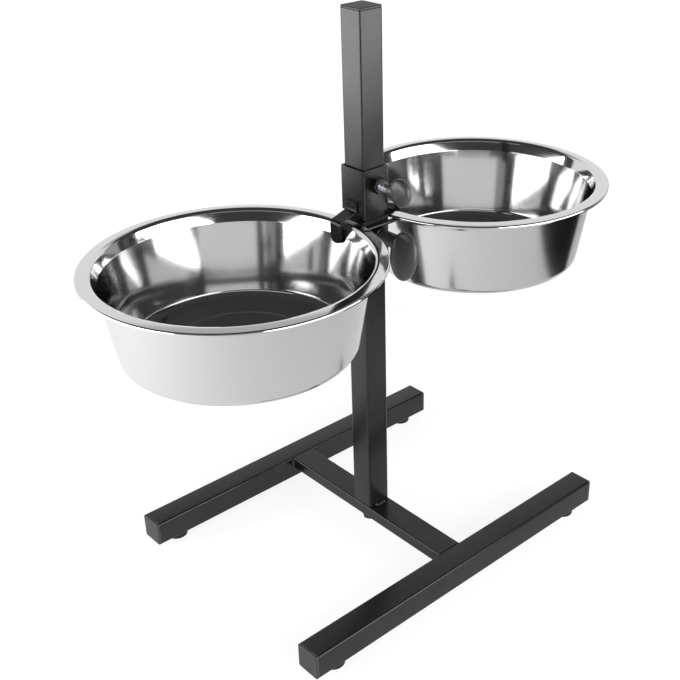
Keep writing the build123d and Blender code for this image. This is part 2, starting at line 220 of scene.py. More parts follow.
@dataclass(frozen=True)
class MottledFinish(Finish):
    """Finish whose tone drifts in soft patches between two colours, with fine raised grain.

    A grain height of 0 leaves the surface flat. A metal keeps the shader's own refraction.
    """

    second_colour: str
    patch_size: float
    sheen: Sheen
    patch_detail: float = 3.0
    smoother: float = 0.0
    rougher: float = 0.0
    grain_size: float = 1 * MM
    grain_height: float = 0.0
    grain_detail: float = 2.0
    # Strength of each finer octave of the noise, as a share of the one before
    octave_share: float = 0.55
    refraction: float = 1.5
    metal: bool = False

    def shader(self, tree: bpy.types.NodeTree) -> bpy.types.Node:
        """Builds patches of tone, grain and sheen in the piece's own coordinates.

        Args:
            tree: Node tree of the new material.

        Returns:
            The principled shader.
        """
        low, high = NOISE_RANGE
        place = add_node(tree, "ShaderNodeTexCoord").outputs["Object"]
        sizes = ((self.patch_size, self.patch_detail), (self.grain_size, self.grain_detail))
        patches, grain = (
            add_node(tree, "ShaderNodeTexNoise", {"Vector": place, "Scale": 1 / size, "Detail": detail,
                                                  "Roughness": self.octave_share}).outputs[0]
            for size, detail in sizes)
        drift = add_node(tree, "ShaderNodeMapRange", {"Value": patches, "From Min": low, "From Max": high})
        tone = add_node(tree, "ShaderNodeMix", {0: drift.outputs[0], 6: linear(self.colour),
                                                7: linear(self.second_colour)}, data_type="RGBA")
        inputs = {"Base Color": tone.outputs[2], "Metallic": float(self.metal), "Roughness": self.roughness}
        if not self.metal:
            inputs["IOR"] = self.refraction
        if self.sheen is not Sheen.EVEN:
            pattern = patches if self.sheen is Sheen.PATCHES else grain
            varied = add_node(tree, "ShaderNodeMapRange",
                              {"Value": pattern, "From Min": low, "From Max": high,
                               "To Min": self.roughness - self.smoother,
                               "To Max": self.roughness + self.rougher})
            inputs["Roughness"] = varied.outputs[0]
        if self.grain_height:
            bump = add_node(tree, "ShaderNodeBump",
                            {"Height": grain, "Distance": self.grain_height, "Strength": 1.0})
            inputs["Normal"] = bump.outputs[0]
        return add_node(tree, "ShaderNodeBsdfPrincipled", inputs)


@dataclass(frozen=True)
class PowderCoatedSteel(MottledFinish):
    """Steel with satin black polyester powder, sprayed dry and baked.

    The powder flows out to a fine orange peel, so edges and faces carry soft, slightly broken highlights.
    """

    second_colour: str = "#171718"
    patch_size: float = 38 * MM
    sheen: Sheen = Sheen.PATCHES
    smoother: float = 0.03
    rougher: float = 0.04
    # Real peel is about 0.6 mm across. It is drawn at 1.5 mm so that it shows.
    grain_size: float = 1.5 * MM
    grain_height: float = 0.02 * MM


@dataclass(frozen=True)
class ZincPlatedSteel(MottledFinish):
    """Steel screw with bright zinc plating, which has a cool tint and faint cloudy patches."""

    second_colour: str = "#aeb4ba"
    patch_size: float = 2.2 * MM
    sheen: Sheen = Sheen.PATCHES
    smoother: float = 0.05
    rougher: float = 0.08
    metal: bool = True


@dataclass(frozen=True)
class MouldedPlastic(MottledFinish):
    """Black plastic moulded in a spark-eroded tool, whose fine grain breaks up its sheen."""

    second_colour: str = "#3a3a3b"
    # Marks of the flowing plastic are this wide
    patch_size: float = 9 * MM
    patch_detail: float = 2.0
    sheen: Sheen = Sheen.GRAIN
    smoother: float = 0.04
    rougher: float = 0.05
    # Real tool grain is about 0.1 mm. It is drawn at 0.9 mm so that it shows.
    grain_size: float = 0.9 * MM
    grain_height: float = 0.02 * MM
    refraction: float = 1.53


@dataclass(frozen=True)
class MouldedRubber(MottledFinish):
    """Black rubber, compression moulded and dull, with a dusty lighter bloom in patches."""

    second_colour: str = "#242423"
    patch_size: float = 4 * MM
    sheen: Sheen = Sheen.EVEN
    # Real grain is about 0.1 mm. It is drawn at 0.8 mm so that it shows.
    grain_size: float = 0.8 * MM
    grain_height: float = 0.03 * MM
    refraction: float = 1.52


@dataclass(frozen=True)
class SpunStainless(Finish):
    """Pressed stainless steel, polished on a spinning lathe about the bowl's own axis.

    The polishing wheel leaves hair-fine rings around the bowl, and the pressing leaves the sheet a little
    wavy, which bends straight reflections. The piece's origin lies on the bowl's axis.
    """

    # Real polishing lines are under 0.1 mm apart. They are drawn at 0.45 mm so that they show.
    line_size: float = 0.45 * MM
    line_height: float = 0.0006 * MM
    line_detail: float = 2.0
    # One turn counts as this length, so each polishing line runs round most of the bowl
    turn_length: float = 3 * MM
    wave_size: float = 24 * MM
    wave_height: float = 0.03 * MM
    wave_detail: float = 1.0
    wave_octave_share: float = 0.55
    # Shares of the roughness in the finest and coarsest lines
    smoother_share: float = 0.8
    rougher_share: float = 1.25

    def shader(self, tree: bpy.types.NodeTree) -> bpy.types.Node:
        """Builds polished steel with rings about the Z axis.

        Args:
            tree: Node tree of the new material.

        Returns:
            The principled shader.
        """
        place = add_node(tree, "ShaderNodeTexCoord").outputs["Object"]
        parts = add_node(tree, "ShaderNodeSeparateXYZ", {0: place}).outputs
        flat = add_node(tree, "ShaderNodeCombineXYZ", {0: parts[0], 1: parts[1], 2: 0.0})
        radius = add_node(tree, "ShaderNodeVectorMath", {0: flat.outputs[0]}, operation="LENGTH")
        angle = add_node(tree, "ShaderNodeMath", {0: parts[1], 1: parts[0]}, operation="ARCTAN2")
        along = add_node(tree, "ShaderNodeMath", {0: angle.outputs[0], 1: self.turn_length / FULL_TURN},
                         operation="MULTIPLY")
        turned = add_node(tree, "ShaderNodeCombineXYZ",
                          {0: radius.outputs["Value"], 1: along.outputs[0], 2: parts[2]})
        lines = add_node(tree, "ShaderNodeTexNoise",
                         {"Vector": turned.outputs[0], "Scale": 1 / self.line_size,
                          "Detail": self.line_detail})
        waves = add_node(tree, "ShaderNodeTexNoise",
                         {"Vector": place, "Scale": 1 / self.wave_size, "Detail": self.wave_detail,
                          "Roughness": self.wave_octave_share})
        rough = add_node(tree, "ShaderNodeMapRange",
                         {"Value": lines.outputs[0], "From Min": NOISE_RANGE[0], "From Max": NOISE_RANGE[1],
                          "To Min": self.roughness * self.smoother_share,
                          "To Max": self.roughness * self.rougher_share})
        wavy = add_node(tree, "ShaderNodeBump",
                        {"Height": waves.outputs[0], "Distance": self.wave_height, "Strength": 1.0})
        lined = add_node(tree, "ShaderNodeBump", {"Height": lines.outputs[0], "Distance": self.line_height,
                                                  "Strength": 1.0, "Normal": wavy.outputs[0]})
        return add_node(tree, "ShaderNodeBsdfPrincipled",
                        {"Base Color": linear(self.colour), "Metallic": 1.0, "Roughness": rough.outputs[0],
                         "Normal": lined.outputs[0]})


# Satin black paint of the whole frame
SATIN_BLACK = PowderCoatedSteel("powder_coated_steel_satin_black", Slot.POWDER_COAT, "#0e0e0f", 0.25)
# Bright studs and the plug in the post
BRIGHT_ZINC = ZincPlatedSteel("zinc_plated_steel", Slot.ZINC_STEEL, "#cfd3d8", 0.24)
# Mirror inside and on the rim of the bowls
MIRROR_STEEL = SpunStainless("polished_stainless_steel", Slot.STAINLESS, "#e6e6e6", 0.09)
# Outside of the bowls, polished less finely, so that reflections blur
SATIN_STEEL = SpunStainless("satin_stainless_steel", Slot.STAINLESS, "#e4e4e4", 0.16,
                            line_height=0.0012 * MM)
# Knobs of the thumb screws
KNOB_NYLON = MouldedPlastic("moulded_black_nylon", Slot.KNOB_PLASTIC, "#3f3f41", 0.36, "#4d4d50")
# Caps in the tubes' ends
CAP_POLYETHYLENE = MouldedPlastic("moulded_black_polyethylene", Slot.CAP_PLASTIC, "#2f2f30", 0.50)
# Feet
FOOT_RUBBER = MouldedRubber("moulded_black_rubber", Slot.FOOT_RUBBER, "#161616", 0.75)


# Mesh helpers

def angles(count: int) -> list[float]:
    """Returns equal steps around a full turn, in radians."""
    return [FULL_TURN * index / count for index in range(count)]


def circle(radius: float, count: int, height: float) -> Loop:
    """Returns points around the Z axis.

    Args:
        radius: Radius of the circle.
        count: Number of points.
        height: Z of the points.

    Returns:
        The points, anticlockwise seen from above.
    """
    return [Vector((radius * math.cos(angle), radius * math.sin(angle), height)) for angle in angles(count)]


def skin(name: str, loops: Sequence[Loop], wrap: bool = False, cap: bool = True,
         sharp: float = SHARP_ANGLE) -> bpy.types.Object:
    """Makes one smooth-shaded object by joining each loop of points to the next.

    Args:
        name: Name of the object.
        loops: Loops of equally many points.
        wrap: Whether the last loop joins the first.
        cap: Whether the first and last loops are filled.
        sharp: Angle in degrees from which an edge is shaded sharp.

    Returns:
        The object, linked to the scene.
    """
    shape = bmesh.new()
    rows = [[shape.verts.new(point) for point in loop] for loop in loops]
    count = len(rows[0])
    pairs = list(zip(rows, rows[1:]))
    if wrap:
        pairs.append((rows[-1], rows[0]))
    for low, high in pairs:
        for index in range(count):
            after = (index + 1) % count
            shape.faces.new((low[index], low[after], high[after], high[index]))
    if cap and not wrap:
        shape.faces.new(list(reversed(rows[0])))
        shape.faces.new(rows[-1])
    bmesh.ops.remove_doubles(shape, verts=shape.verts, dist=NEW_MERGE)
    bmesh.ops.recalc_face_normals(shape, faces=shape.faces)
    return link_shape(name, shape, sharp)


def link_shape(name: str, shape: bmesh.types.BMesh, sharp: float = SHARP_ANGLE) -> bpy.types.Object:
    """Turns a bmesh into a smooth-shaded object in the scene.

    Args:
        name: Name of the object.
        shape: The bmesh, which is freed.
        sharp: Angle in degrees from which an edge is shaded sharp.

    Returns:
        The object, linked to the scene.
    """
    mesh = bpy.data.meshes.new(name)
    shape.to_mesh(mesh)
    shape.free()
    mesh.polygons.foreach_set("use_smooth", [True] * len(mesh.polygons))
    mesh.set_sharp_from_angle(angle=math.radians(sharp))
    piece = bpy.data.objects.new(name, mesh)
    bpy.context.scene.collection.objects.link(piece)
    return piece


def apply_modifiers(piece: bpy.types.Object) -> None:
    """Turns a piece's modifiers into its mesh.

    Args:
        piece: Piece with modifiers.
    """
    graph = bpy.context.evaluated_depsgraph_get()
    mesh = bpy.data.meshes.new_from_object(piece.evaluated_get(graph))
    piece.modifiers.clear()
    piece.data = mesh


def settle(piece: bpy.types.Object, finish: Finish, body: str, node: str) -> None:
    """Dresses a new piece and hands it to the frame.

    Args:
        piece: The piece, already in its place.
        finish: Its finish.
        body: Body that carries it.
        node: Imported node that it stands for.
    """
    finish.dress(piece)
    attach(piece, body)
    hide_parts(node)
    LOG.info("%s rides on %s and has %d faces", piece.name, body, len(piece.data.polygons))


def soften(node: str, name: str, radius: float, finish: Finish, body: str) -> None:
    """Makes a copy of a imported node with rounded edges, which stands for it.

    Args:
        node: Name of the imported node.
        name: Name of the copy.
        radius: Radius of the rounding.
        finish: Finish of the copy.
        body: Body that carries it.
    """
    shape = bmesh.new()
    shape.from_mesh(bpy.data.objects[node].data)
    bmesh.ops.remove_doubles(shape, verts=shape.verts, dist=PACKED_MERGE)
    bmesh.ops.dissolve_limit(shape, angle_limit=math.radians(FLAT_ANGLE), verts=shape.verts,
                             edges=shape.edges)
    piece = link_shape(name, shape)
    bevel = piece.modifiers.new("rounding", "BEVEL")
    bevel.width = radius
    bevel.segments = ROUNDING_STEPS
    bevel.angle_limit = math.radians(SHARP_ANGLE)
    bevel.harden_normals = True
    apply_modifiers(piece)
    settle(piece, finish, body, node)


def dress_packed(finish: Finish, *nodes: str) -> None:
    """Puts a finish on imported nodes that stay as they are.

    Args:
        finish: Finish of the nodes.
        nodes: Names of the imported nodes.
    """
    for node in nodes:
        finish.dress(bpy.data.objects[node])
    LOG.info("dressed in %s: %s", finish.name, ", ".join(nodes))


def bent_line(points: Sequence[Flat], bends: Sequence[float], step: float = 4.0) -> list[Flat]:
    """Rounds the corners of a run of straight lines.

    Args:
        points: Corners of the run, with its ends.
        bends: Radius for each corner between the ends.
        step: Largest turn in degrees between points of a bend.

    Returns:
        Points along the rounded run.
    """
    line = [points[0]]
    for index, bend in enumerate(bends, start=1):
        before, corner, after = (Vector(point) for point in points[index - 1:index + 2])
        inward = (before - corner).normalized()
        outward = (after - corner).normalized()
        half = inward.angle(outward) / 2
        reach = bend / math.tan(half)
        centre = corner + (inward + outward).normalized() * bend / math.sin(half)
        first = corner + inward * reach - centre
        turn = math.pi - 2 * half
        spin = math.copysign(turn, inward.x * outward.y - inward.y * outward.x) * -1
        count = max(2, math.ceil(math.degrees(turn) / step))
        for part in range(count + 1):
            place = centre + Matrix.Rotation(spin * part / count, 2) @ first
            line.append((place.x, place.y))
    line.append(points[-1])
    return line


def offset_line(line: Sequence[Flat], distance: float) -> list[Flat]:
    """Moves a smooth line sideways, to its left.

    Args:
        line: Points of the line.
        distance: How far it moves.

    Returns:
        The moved points.
    """
    moved = []
    for index, point in enumerate(line):
        before = Vector(line[max(index - 1, 0)])
        after = Vector(line[min(index + 1, len(line) - 1)])
        along = (after - before).normalized()
        moved.append((point[0] - along.y * distance, point[1] + along.x * distance))
    return moved


def hexagon_reach(angle: float, flats: float) -> float:
    """Distance from a hexagon's centre to its side in one direction.

    Args:
        angle: Direction in radians, 0 towards a corner.
        flats: Width across flats.

    Returns:
        The distance.
    """
    sixth = FULL_TURN / 6
    from_flat = (angle % sixth) - sixth / 2
    return flats / 2 / math.cos(from_flat)


# Sub-assemblies

@dataclass
class Hexagon:
    """Hexagon of a nut or bolt head, chamfered at its outer face, along a screw's axis."""

    flats: float
    height: float
    bore: float = 0.0
    bore_lead: float = 0.5 * MM
    chamfer_reach: float = 0.96
    chamfer_slope: float = 30.0
    chamfer_rows: int = 8
    steps: int = 96

    def loops(self) -> list[Loop]:
        """Builds the outside from the hexagon's flat face to its chamfered one.

        Returns:
            The loops around the Z axis.
        """
        rise = math.tan(math.radians(self.chamfer_slope))
        corner = self.flats / 2 / math.cos(FULL_TURN / 12)
        depth = (corner - self.flats / 2 * self.chamfer_reach) * rise
        rows = range(self.chamfer_rows, -1, -1)
        loops = []
        for height in [0.0] + [self.height - depth * row / self.chamfer_rows for row in rows]:
            limit = self.flats / 2 * self.chamfer_reach + (self.height - height) / rise
            loop = []
            for angle in angles(self.steps):
                reach = min(hexagon_reach(angle, self.flats), limit)
                loop.append(Vector((reach * math.cos(angle), reach * math.sin(angle), height)))
            loops.append(loop)
        return loops

    def bored_loops(self) -> list[Loop]:
        """Returns loops over the outside and back through the bore."""
        radius = self.bore / 2
        return self.loops() + [
            circle(radius + self.bore_lead, self.steps, self.height),
            circle(radius, self.steps, self.height - self.bore_lead),
            circle(radius, self.steps, 0.0),
        ]


@dataclass
class Thread:
    """Metric screw thread along the Z axis, cut as one right-hand helix.

    Its depth is the share of the pitch that metric threads have. The ridge is a clipped triangle, so its
    crest and root are flat.
    """

    diameter: float = 8 * MM
    pitch: float = 1.25 * MM
    steps: int = 40
    rows_per_pitch: int = 8
    depth_share: float = 0.6134
    ridge_gain: float = 1.3
    root_share: float = 0.1

    def loops(self, start: float, length: float, chamfers: tuple[bool, bool]) -> list[Loop]:
        """Returns loops of a threaded rod.

        Args:
            start: Z of the first end.
            length: Length of the rod.
            chamfers: Whether the first and last ends are chamfered.

        Returns:
            The loops in order along Z.
        """
        depth = self.depth_share * self.pitch
        rows = math.ceil(length / self.pitch * self.rows_per_pitch)
        loops = []
        for row in range(rows + 1):
            height = length * row / rows
            ends = [height if chamfers[0] else length, length - height if chamfers[1] else length]
            limit = self.diameter / 2 - depth + min(ends)
            loop = []
            for index in range(self.steps):
                turn = index / self.steps
                phase = (height / self.pitch - turn) % 1.0
                triangle = (0.5 - abs(phase - 0.5)) * 2
                ridge = min(1.0, max(0.0, triangle * self.ridge_gain - self.root_share))
                radius = min(self.diameter / 2 - depth * (1 - ridge), limit)
                angle = FULL_TURN * turn
                loop.append(Vector((radius * math.cos(angle), radius * math.sin(angle), start + height)))
            loops.append(loop)
        return loops


@dataclass
class WeldBead:
    """Short rippled weld bead in a corner between two faces, tapered at both ends."""

    body: str
    node: str
    width: float
    reach: float
    ripple_pitch: float = 1.3 * MM
    ripple_share: float = 0.10
    rows_per_ripple: int = 8
    fewest_rows: int = 12
    steps: int = 24
    taper_power: int = 6
    least_size: float = 0.02
    # How much of the half that lies inside the two faces is left out
    tuck_share: float = 0.7
    sharp_angle: float = 60.0

    def build(self, name: str, start: Vector, end: Vector, outward: Vector, upward: Vector) -> None:
        """Makes one bead and paints it.

        Args:
            name: Name of the piece.
            start: First end of the seam.
            end: Last end of the seam.
            outward: Direction along one of the faces, away from the corner.
            upward: Direction along the other face.
        """
        length = (end - start).length
        along = (end - start).normalized()
        rows = max(self.fewest_rows, math.ceil(length / self.ripple_pitch * self.rows_per_ripple))
        loops = []
        for row in range(rows + 1):
            share = row / rows
            place = start + along * length * share
            taper = math.sqrt(max(0.0, 1 - (2 * share - 1) ** self.taper_power))
            ripple = 1 - self.ripple_share * abs(math.sin(math.pi * length * share / self.ripple_pitch))
            size = max(taper, self.least_size) * ripple
            loop = []
            for angle in angles(self.steps):
                across, up = math.cos(angle), math.sin(angle)
                side = outward * self.width * across + upward * self.reach * up
                tuck = (outward * self.width * (min(across, 0) * self.tuck_share)
                        + upward * self.reach * (min(up, 0) * self.tuck_share))
                loop.append(place + (side - tuck) * size)
            loops.append(loop)
        settle(skin(name, loops, sharp=self.sharp_angle), SATIN_BLACK, self.body, self.node)


@dataclass
class BaseFrame:
    """H-shaped base, post, caps, feet, welds and the bolt under the crossbar."""

    bead_radius: float = 2.4 * MM
    bead_inset: float = 1.6 * MM
    post_bead_reach: float = 4.0 * MM
    post_bead_height: float = 3.6 * MM
    head_flats: float = 17 * MM
    head_height: float = 6.4 * MM
    bolt_diameter: float = 10 * MM
    bolt_pitch: float = 1.5 * MM
    bolt_sharp_angle: float = 30.0
    tube_end_rounding: float = 0.4 * MM
    cap_rounding: float = 0.35 * MM
    body: str = "base"

    def build(self) -> None:
        """Dresses the tubes, caps and feet, and makes the welds and the bolt."""
        self.dress_tubes()
        self.dress_caps_and_feet()
        self.build_crossbar_welds()
        self.build_post_welds()
        self.build_bolt()

    def dress_tubes(self) -> None:
        """Paints the rails, crossbar and post, with the cut ends of the capped tubes rounded over."""
        for node in ("front_rail", "back_rail", "post"):
            soften(node, f"{node}_tube", self.tube_end_rounding, SATIN_BLACK, self.body)
        dress_packed(SATIN_BLACK, "crossbar", "base_washer")
        dress_packed(BRIGHT_ZINC, "post_plug")

    def dress_caps_and_feet(self) -> None:
        """Makes the caps, whose rounded edges leave a fine groove at the tubes, and dresses the feet."""
        places = [f"{rail.word}_{side.word}" for rail in Rail for side in Side]
        for node in ["post_cap"] + [f"{place}_cap" for place in places]:
            soften(node, f"{node}_moulding", self.cap_rounding, CAP_POLYETHYLENE, self.body)
        dress_packed(FOOT_RUBBER, *(f"{place}_foot" for place in places))

    def build_crossbar_welds(self) -> None:
        """Makes the four upright beads between the crossbar and the rails."""
        low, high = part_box("crossbar")
        bead = WeldBead(self.body, "crossbar_weld_beads", self.bead_radius, self.bead_radius)
        for rail in Rail:
            for side in Side:
                foot = Vector((side.value * high.x, rail.value * high.y, low.z + self.bead_inset))
                top = Vector((foot.x, foot.y, high.z - self.bead_inset))
                bead.build(f"{rail.word}_{side.word}_crossbar_weld", foot, top,
                           Vector((side.value, 0, 0)), Vector((0, -rail.value, 0)))

    def build_post_welds(self) -> None:
        """Makes the beads in front of and behind the post's foot."""
        low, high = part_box("post")
        bead_low, bead_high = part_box("post_weld_beads")
        bead = WeldBead(self.body, "post_weld_beads", self.post_bead_reach, self.post_bead_height)
        for rail in Rail:
            start = Vector((bead_low.x, rail.value * high.y, low.z))
            end = Vector((bead_high.x, start.y, low.z))
            bead.build(f"{rail.word}_post_weld", start, end, Vector((0, rail.value, 0)), Vector((0, 0, 1)))

    def build_bolt(self) -> None:
        """Makes the bolt: a chamfered head below, and a threaded shank up into the plug."""
        low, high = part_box("base_bolt")
        hexagon = Hexagon(self.head_flats, self.head_height)
        head = hexagon.loops()
        # The head is turned over, so that its chamfered face is below
        for loop in head:
            for point in loop:
                point.z = low.z + self.head_height - point.z
        head.reverse()
        shank_start = low.z + self.head_height
        thread = Thread(self.bolt_diameter, self.bolt_pitch, hexagon.steps)
        shank = thread.loops(shank_start, high.z - shank_start, (False, True))
        bolt = skin("base_bolt_threaded", head + shank, sharp=self.bolt_sharp_angle)
        settle(bolt, SATIN_BLACK, self.body, "base_bolt")


@dataclass
class RingCarriage:
    """Lower sleeve with its two wire rings, their rods and the beads that hold the rods."""

    wire_radius: float = 2.25 * MM
    ring_radius: float = 117.5 * MM
    edge_rounding: float = 0.45 * MM
    ring_steps: int = 256
    wire_steps: int = 20
    bead_width: float = 2.2 * MM
    bead_length: float = 7 * MM
    bead_drop: float = 1.4 * MM
    body: str = "ring_carriage"

    def build(self) -> None:
        """Makes the sleeve, rings and beads, and paints the rods."""
        soften("ring_sleeve", "ring_sleeve_tube", self.edge_rounding, SATIN_BLACK, self.body)
        dress_packed(SATIN_BLACK, *(f"{rail.word}_ring_rod" for rail in Rail))
        for side in Side:
            self.build_ring(side)
        self.build_rod_welds()

    def build_ring(self, side: Side) -> None:
        """Makes one closed wire ring.

        Args:
            side: Side of the post.
        """
        low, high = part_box(f"{side.word}_ring")
        middle = (low + high) / 2
        loops = []
        for angle in angles(self.ring_steps):
            outward = Vector((math.cos(angle), math.sin(angle), 0))
            loop = []
            for around in angles(self.wire_steps):
                reach = self.ring_radius + self.wire_radius * math.cos(around)
                loop.append(middle + outward * reach + Vector((0, 0, self.wire_radius * math.sin(around))))
            loops.append(loop)
        ring = skin(f"{side.word}_ring_wire", loops, wrap=True)
        settle(ring, SATIN_BLACK, self.body, f"{side.word}_ring")

    def build_rod_welds(self) -> None:
        """Makes the small beads under the rods, near the sleeve's corners."""
        seam_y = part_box("ring_sleeve")[1].y
        bead_low, bead_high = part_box("rod_weld_beads")
        rod_low, rod_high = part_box("back_ring_rod")
        seam_z = (rod_low.z + rod_high.z) / 2 - self.bead_drop
        bead = WeldBead(self.body, "rod_weld_beads", self.bead_width, self.bead_width)
        for rail in Rail:
            for side in Side:
                outer = bead_high.x if side is Side.RIGHT else -bead_low.x
                start = Vector((side.value * outer, rail.value * seam_y, seam_z))
                end = start - Vector((side.value * self.bead_length, 0, 0))
                bead.build(f"{rail.word}_{side.word}_rod_weld", start, end,
                           Vector((0, rail.value, 0)), Vector((0, 0, -1)))


@dataclass
class LockCarriage:
    """Upper sleeve with the two hooks that hold the bowls down."""

    edge_rounding: float = 0.45 * MM
    hook_rounding: float = 0.55 * MM
    body: str = "lock_carriage"

    def build(self) -> None:
        """Makes the sleeve and both hooks."""
        soften("lock_sleeve", "lock_sleeve_tube", self.edge_rounding, SATIN_BLACK, self.body)
        for side in Side:
            hook = f"{side.word}_hook"
            soften(hook, f"{hook}_strap", self.hook_rounding, SATIN_BLACK, self.body)


@dataclass
class ThumbScrew:
    """Welded nut, zinc-plated stud and moulded knob of one clamp."""

    name: str
    carriage: str
    hub_length: float
    paddle_width: float
    paddle_height: float
    paddle_thickness: float
    outreach: float
    drop: float
    turn: float
    stud_body: str
    knob_body: str
    hub_radius: float = 6.3 * MM
    hub_edge: float = 1.2 * MM
    hub_edge_rows: int = 6
    hub_steps: int = 64
    paddle_power: float = 2.6
    paddle_rows: int = 28
    paddle_steps: int = 72
    nut_flats: float = 13 * MM
    nut_height: float = 6.5 * MM
    nut_bore: float = 8.1 * MM
    knob_bore_radius: float = 4.05 * MM
    knob_bore_depth: float = 9.05 * MM
    knob_bore_steps: int = 48
    # How far the cutter of the bore stands out of the hub's face
    overcut: float = 1 * MM
    nut_sharp_angle: float = 25.0
    thread_sharp_angle: float = 70.0
    knob_sharp_angle: float = 50.0
    voxel: float = 0.5 * MM
    smoothing: float = 0.5
    smoothing_passes: int = 6

    def build(self) -> None:
        """Makes the nut, the stud and the knob."""
        self.build_nut()
        self.build_stud()
        self.build_knob()

    @staticmethod
    def lay_along_screw(piece: bpy.types.Object, origin: Vector, spin: float = 0.0) -> None:
        """Turns a piece's mesh from the Z axis to the -Y axis.

        Args:
            piece: Piece built around the Z axis.
            origin: Where its own origin goes.
            spin: Turn about the screw's axis, in radians.
        """
        turned = Matrix.Rotation(spin, 4, Vector((0, 1, 0))) @ Matrix.Rotation(math.pi / 2, 4, "X")
        piece.data.transform(Matrix.Translation(origin) @ turned)

    def build_nut(self) -> None:
        """Makes the chamfered nut on the sleeve's face."""
        low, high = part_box(f"{self.name}_nut")
        axis = Vector(((low.x + high.x) / 2, high.y, (low.z + high.z) / 2))
        loops = Hexagon(self.nut_flats, self.nut_height, self.nut_bore).bored_loops()
        nut = skin(f"{self.name}_nut_hexagon", loops, wrap=True, sharp=self.nut_sharp_angle)
        self.lay_along_screw(nut, axis)
        settle(nut, SATIN_BLACK, self.carriage, f"{self.name}_nut")

    def build_stud(self) -> None:
        """Makes the threaded stud."""
        low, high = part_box(f"{self.name}_stud")
        axis = Vector((0, high.y, (low.z + high.z) / 2))
        loops = Thread().loops(0, high.y - low.y, (True, False))
        stud = skin(f"{self.name}_stud_thread", loops, sharp=self.thread_sharp_angle)
        self.lay_along_screw(stud, axis)
        settle(stud, BRIGHT_ZINC, self.stud_body, f"{self.name}_stud")

    def build_knob(self) -> None:
        """Makes the knob: hub and paddle melted into one moulded form, bored for the stud."""
        stud_low, stud_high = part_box(f"{self.name}_stud")
        axis = Vector((0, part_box(f"{self.name}_knob")[1].y, (stud_low.z + stud_high.z) / 2))
        knob = skin(f"{self.name}_knob_moulding", self.hub_loops())
        join_meshes(knob, skin("paddle", self.paddle_loops()))
        remesh = knob.modifiers.new("melt", "REMESH")
        remesh.mode = "VOXEL"
        remesh.voxel_size = self.voxel
        smooth = knob.modifiers.new("blend", "SMOOTH")
        smooth.factor = self.smoothing
        smooth.iterations = self.smoothing_passes
        apply_modifiers(knob)
        ends = (-self.overcut, self.knob_bore_depth)
        bore = [circle(self.knob_bore_radius, self.knob_bore_steps, height) for height in ends]
        cut_away(knob, skin("bore", bore))
        for face in knob.data.polygons:
            face.use_smooth = True
        knob.data.set_sharp_from_angle(angle=math.radians(self.knob_sharp_angle))
        self.lay_along_screw(knob, axis, self.turn)
        settle(knob, KNOB_NYLON, self.knob_body, f"{self.name}_knob")

    def hub_loops(self) -> list[Loop]:
        """Builds the round hub from its face at 0 outward, with a rounded first edge.

        Returns:
            The loops around the Z axis.
        """
        loops = [circle(self.hub_radius - self.hub_edge, self.hub_steps, 0.0)]
        for row in range(1, self.hub_edge_rows + 1):
            angle = math.pi / 2 * row / self.hub_edge_rows
            radius = self.hub_radius - self.hub_edge * (1 - math.sin(angle))
            loops.append(circle(radius, self.hub_steps, self.hub_edge * (1 - math.cos(angle))))
        loops.append(circle(self.hub_radius, self.hub_steps, self.hub_length))
        return loops

    def paddle_loops(self) -> list[Loop]:
        """Builds the pillow-shaped oval paddle.

        Returns:
            The loops, stacked across its thickness.
        """
        loops = []
        for row in range(self.paddle_rows + 1):
            share = -math.cos(math.pi * row / self.paddle_rows)
            swell = max(0.0, 1 - abs(share) ** self.paddle_power) ** (1 / self.paddle_power)
            loop = []
            for angle in angles(self.paddle_steps):
                loop.append(Vector((
                    share * self.paddle_thickness / 2,
                    -self.drop + swell * self.paddle_height / 2 * math.sin(angle),
                    self.outreach + swell * self.paddle_width / 2 * math.cos(angle),
                )))
            loops.append(loop)
        return loops


def join_meshes(piece: bpy.types.Object, other: bpy.types.Object) -> None:
    """Moves the faces of another object into a piece and removes that object.

    Args:
        piece: Piece that gets the faces.
        other: Object that gives them.
    """
    shape = bmesh.new()
    shape.from_mesh(piece.data)
    shape.from_mesh(other.data)
    shape.to_mesh(piece.data)
    shape.free()
    bpy.data.objects.remove(other)


def cut_away(piece: bpy.types.Object, cutter: bpy.types.Object) -> None:
    """Cuts one object out of a piece and removes that object.

    Args:
        piece: Piece that is cut.
        cutter: Object whose form is taken away.
    """
    cut = piece.modifiers.new("cut", "BOOLEAN")
    cut.operation = "DIFFERENCE"
    cut.object = cutter
    cut.solver = "EXACT"
    apply_modifiers(piece)
    bpy.data.objects.remove(cutter)


